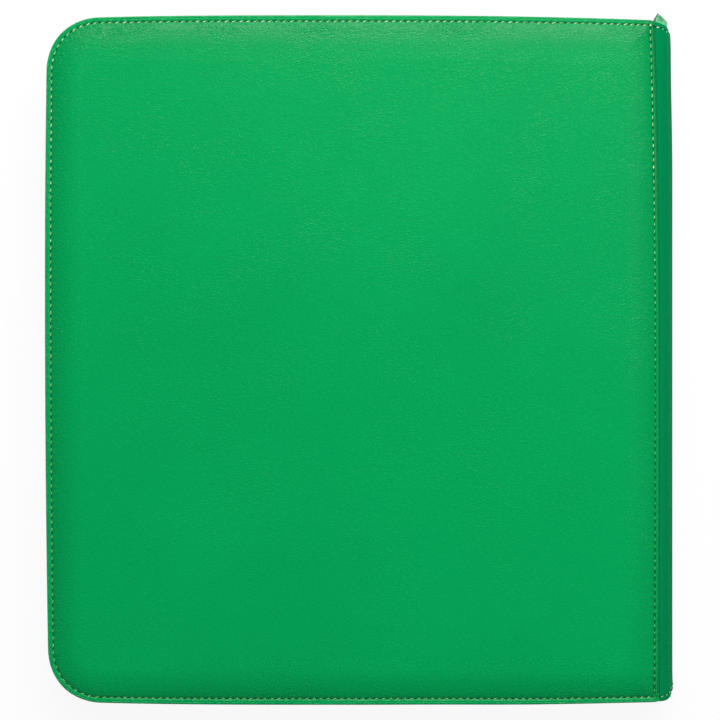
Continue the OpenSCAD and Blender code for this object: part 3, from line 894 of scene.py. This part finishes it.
def enamel(name, colour, roughness=0.22, withPaintedLight=False):
    material, tree, shader = startMaterial(name)
    mottle = noise(tree, objectPlace(tree), 700.0)
    shade = remap(tree, mottle, 0.3, 0.7, 0.95, 1.05)
    if withPaintedLight:  # painted shade in the recess and along the left edge, and a painted highlight beside that
        marks = axes(tree, markPlace(tree, "pullMarks"))
        bands = (("X", 0.5, 1.0, 0.7), ("Y", pull["bright"], 1.8, 1.0), ("Y", pull["dark"], 0.1, 1.0))
        for axis, edge, before, past in bands:
            tone = remap(tree, marks[axis], edge - 0.1, edge + 0.1, before, past)
            shade = times(tree, shade, tone)
    tint(tree, colour, shade, shader)
    feed(tree, remap(tree, mottle, 0.3, 0.7, roughness, roughness + 0.1), shader.inputs["Roughness"])
    setInputs(shader, {"Coat Weight": 0.1 if withPaintedLight else 0.5, "Coat Roughness": 0.1})
    bump(tree, times(tree, mottle, 0.01 * mm), shader)
    return material


def crossWeave(name, colour, threads, depth):
    material, tree, shader = startMaterial(name)
    place = axes(tree, objectPlace(tree))
    warp = plus(tree, place["X"], place["Z"])
    slants = [maths(tree, kind, warp, place["Y"]) for kind in ("ADD", "SUBTRACT")]
    ribs = [maths(tree, "PINGPONG", times(tree, slant, threads), 0.5) for slant in slants]
    crossed = maths(tree, "MAXIMUM", *ribs)
    tint(tree, colour, remap(tree, crossed, 0.1, 0.5, 0.6, 1.1), shader)
    setInputs(shader, {"Roughness": 0.8, "Sheen Weight": 0.2})
    bump(tree, times(tree, crossed, depth), shader)
    return material


def clearFilm(name):
    material, tree, shader = startMaterial(name)
    scratch = noise(tree, stretched(tree, objectPlace(tree), 0.0, (25 * mm, 1.1 * mm, 1.1 * mm)), 1.0)
    setInputs(shader, {"Base Color": (0.86, 0.9, 0.9, 1), "Alpha": 0.22})
    feed(tree, remap(tree, scratch, 0.3, 0.7, 0.06, 0.2), shader.inputs["Roughness"])
    bump(tree, times(tree, scratch, 0.004 * mm), shader)
    return material


# Finishes of the hard and flat pieces, by a word in the node's name
finishes = {
    "foam": plainStock("paleFoam", (0.78, 0.74, 0.62), 900.0, 0.08, 0.06 * mm, 0.9),
    "board": greyBoard,
    "lining": crossWeave("blackLining", (0.02, 0.022, 0.021), 900.0, 0.04 * mm),
    "zip_teeth": enamel("greenTeeth", (0.01, 0.29, 0.09), 0.3),
    "leaf": plainStock("blackCard", (0.012, 0.013, 0.014), 400.0, 0.15, 0.01 * mm, 0.6),
    "strips": clearFilm("clearFilm"),
    "binding": plainStock("blackPlastic", (0.012, 0.013, 0.013), 500.0, 0.1, 0.02 * mm, 0.45),
}
for nodeName, nodeObject in nodes.items():
    for key, finish in finishes.items():
        if key in nodeName:
            for slot in nodeObject.material_slots:
                slot.material = finish


def mergedCopy(nodeName):
    bm = bmesh.new()
    bm.from_mesh(nodes[nodeName].data)
    bmesh.ops.scale(bm, vec=(1 / mm, 1 / mm, 1 / mm), verts=bm.verts)
    bmesh.ops.remove_doubles(bm, verts=bm.verts, dist=0.002)
    bmesh.ops.dissolve_limit(bm, angle_limit=math.radians(1), verts=bm.verts, edges=bm.edges)
    return bm


# Pull: its blade is a little shorter than the solid's, with a longer askew point and a wide left chamfer;
# dark and bright say how far in from the left edge its painted shade and painted highlight reach
pull = {"pin": (167.35, 181.75, 24.0), "droop": math.radians(58), "length": 15.7, "half": 3.6, "point": 5.2,
        "blade": 3.4, "cuts": 13, "cutEvery": 0.9, "rim": 0.6, "shorter": 1.2, "leftChamfer": 0.6,
        "rightChamfer": 0.3, "recess": 0.5, "back": 3.0, "dark": 1.3, "bright": 2.0, "unmarked": 5,
        "left": [(0.0, 0.8), (7.6, 3.6), (20.0, 3.6)],  # from the tip, and across
        "right": [(0.0, 0.8), (2.0, -0.6), (4.1, -1.6), (7.8, -2.65), (11.1, -3.6), (20.0, -3.6)]}


def lensHalf(u):
    # half the width of the solid's blade at u from its pin: straight sides that meet in an arched point
    half, point = pull["half"], pull["point"]
    past = u - (pull["length"] - point)
    bend = (half * half + point * point) / (2 * half)
    return half if past < 0 else max(math.sqrt(max(bend * bend - past * past, 0)) - bend + half, 0)


def bladeEdge(side, u):
    # where one side of the blade lies, at u from the pin
    back = pull["length"] - pull["shorter"] - u
    for (near, start), (far, end) in zip(pull[side], pull[side][1:]):
        if back <= far:
            return start + (end - start) * max(back - near, 0) / (far - near)


def pullTab():
    # worked on lying flat: u along X from the pin, v across it, the recess upwards
    bm = mergedCopy("zip_pull")
    laid = Matrix.Rotation(math.pi / 2, 4, "Z") @ Matrix.Rotation(pull["droop"], 4, "Y")
    hung = Matrix.Translation(pull["pin"]) @ laid
    bmesh.ops.transform(bm, matrix=hung.inverted(), verts=bm.verts)
    for index in range(pull["cuts"]):
        geom = list(bm.verts) + list(bm.edges) + list(bm.faces)
        at = pull["blade"] + 0.1 + index * pull["cutEvery"]
        bmesh.ops.bisect_plane(bm, geom=geom, plane_co=(at, 0, 0), plane_no=(1, 0, 0), dist=1e-4)
    sides = {1: set(), -1: set()}
    for vert in bm.verts:
        u, v, w = vert.co
        old = lensHalf(u)
        past = max(u - pull["blade"], 0) / (pull["length"] - pull["blade"])
        if abs(abs(v) - old) < 0.03 and w > 0.5 and past > 0:
            sides[1 if v > -0.001 else -1].add(vert)
        elif w > 0 and past > 0 and abs(v) < old - pull["rim"]:  # the recess is narrowed and drawn back
            v *= pull["recess"]
            u -= pull["back"] * past
        u -= pull["shorter"] * past
        if past > 0:
            left, right = bladeEdge("left", u), bladeEdge("right", u)
            v = (left + right) / 2 + (v / old if old > 0.01 else 0) * (left - right) / 2
        vert.co = (u, v, w)
    for side, width in ((1, pull["leftChamfer"]), (-1, pull["rightChamfer"])):
        edges = {edge for vert in sides[side] if vert.is_valid for edge in vert.link_edges
                 if edge.other_vert(vert) in sides[side] and edge.calc_face_angle(0) > 0.6}
        bmesh.ops.bevel(bm, geom=list(edges), offset=width, affect="EDGES", segments=1, profile=0.5,
                        material=-1)
    # a layer that places the painted shade in the recess and the painted shade and highlight bands in from
    # the left edge
    layer = bm.loops.layers.uv.new("pullMarks")
    bm.normal_update()
    top = max(vert.co.z for vert in bm.verts)
    for face in bm.faces:
        middle = face.calc_center_median()
        sunk = face.normal.z > 0.9 and middle.x > pull["blade"] and 0 < middle.z < top - 0.25
        for loop in face.loops:
            u, v = loop.vert.co.xy
            inward = bladeEdge("left", u) - v if u > pull["blade"] else pull["unmarked"]
            loop[layer].uv = (1 if sunk else 0, inward)
    bmesh.ops.transform(bm, matrix=hung, verts=bm.verts)
    return bm


def brokenEdges(name, bm, nodeName, material, body, width):
    # a hard piece with its edges rounded over
    piece = makePiece(name, bm, material, sharp=40)
    roundEdges(piece, width, 3, 35)
    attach(piece, body)
    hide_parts(nodeName)


print("zip slider and pull")
sliderGreen = enamel("sliderEnamel", (0.01, 0.3, 0.1))
pullGreen = enamel("pullEnamel", (0.055, 0.36, 0.15), 0.35, withPaintedLight=True)
slider, pin = mergedCopy("zip_slider"), mergedCopy("slider_bridge")
brokenEdges("sliderBody", slider, "zip_slider", sliderGreen, "slider", 0.2)
brokenEdges("sliderPin", pin, "slider_bridge", sliderGreen, "slider", 0.08)
brokenEdges("pullTab", pullTab(), "zip_pull", pullGreen, "pull", 0.08)


# Floor, lamps, world and camera
studio = {"floor": 4000, "under": 0.05, "floorWhite": 0.92, "mirrored": 0.35, "ambient": 0.16,
          "horizon": 0.5, "zenith": 0.05}


def paleFloor():
    bm = bmesh.new()
    bmesh.ops.create_grid(bm, x_segments=1, y_segments=1, size=studio["floor"])
    bmesh.ops.translate(bm, vec=(0, 0, -studio["under"]), verts=bm.verts)
    material, tree, shader = startMaterial("paleFloor")
    setInputs(shader, {"Base Color": (0.9, 0.9, 0.9, 1), "Roughness": 0.9, "Specular IOR Level": 0.0})
    rays = addNode(tree, "LightPath").outputs
    seen = times(tree, rays["Is Glossy Ray"], studio["mirrored"])
    seen = maths(tree, "ADD", rays["Is Camera Ray"], seen, clamp=True)
    seen = maths(tree, "ADD", seen, rays["Is Transmission Ray"], clamp=True)
    glow = addNode(tree, "Emission")
    mix = addNode(tree, "MixShader")
    feed(tree, times(tree, seen, studio["floorWhite"]), mix.inputs[0])
    feed(tree, shader.outputs[0], mix.inputs[1])
    feed(tree, glow.outputs[0], mix.inputs[2])
    feed(tree, mix.outputs[0], tree.nodes["Material Output"].inputs["Surface"])
    makePiece("floor", bm, material)


def softbox(name, place, width, height, power, mirrored):
    light = bpy.data.lights.new(name, "AREA")
    light.shape = "RECTANGLE"
    light.size, light.size_y = width, height
    light.energy = power
    lamp = addObject(name, light)
    lamp.location = place
    lamp.rotation_euler = (Vector((0, 0, 0.04)) - Vector(place)).to_track_quat("-Z", "Y").to_euler()
    lamp.visible_camera = False
    lamp.visible_glossy = mirrored


def studioWorld():
    # white to the camera; in reflections pale at the horizon and dark overhead; and a weak even light
    world = bpy.data.worlds.new("studio")
    bpy.context.scene.world = world
    world.use_nodes = True
    tree = world.node_tree
    upward = axes(tree, addNode(tree, "TexCoord").outputs["Generated"])["Z"]
    rays = addNode(tree, "LightPath").outputs
    ambient = studio["ambient"]
    horizon, zenith = studio["horizon"] - ambient, studio["zenith"] - ambient
    mirrored = ramp(tree, upward, 0.1, 0.8, horizon, zenith)
    white = maths(tree, "ADD", rays["Is Camera Ray"], rays["Is Transmission Ray"], clamp=True)
    level = plus(tree, times(tree, rays["Is Glossy Ray"], mirrored), times(tree, white, 1 - ambient))
    background = tree.nodes["Background"]
    setInputs(background, {"Color": (1, 1, 1, 1)})
    feed(tree, plus(tree, level, ambient), background.inputs["Strength"])


print("stage")
paleFloor()
studioWorld()
softbox("topLight", (0.35, 0.9, 1.7), 1.4, 1.4, 26, False)
softbox("keyLight", (0.05, 1.05, 1.4), 1.3, 0.5, 15, True)
softbox("edgeLight", (0.1, 1.8, 0.7), 1.2, 0.5, 9, True)

camera = bpy.data.cameras.new("camera")
camera.lens, camera.sensor_width = 139.9, 36.0
camera.clip_start, camera.clip_end = 0.05, 20.0
viewer = addObject("camera", camera)
viewer.location = (3.4 * mm, -0.27 * mm, 1548 * mm)
bpy.context.scene.camera = viewer
bpy.context.scene.view_settings.view_transform = "Standard"
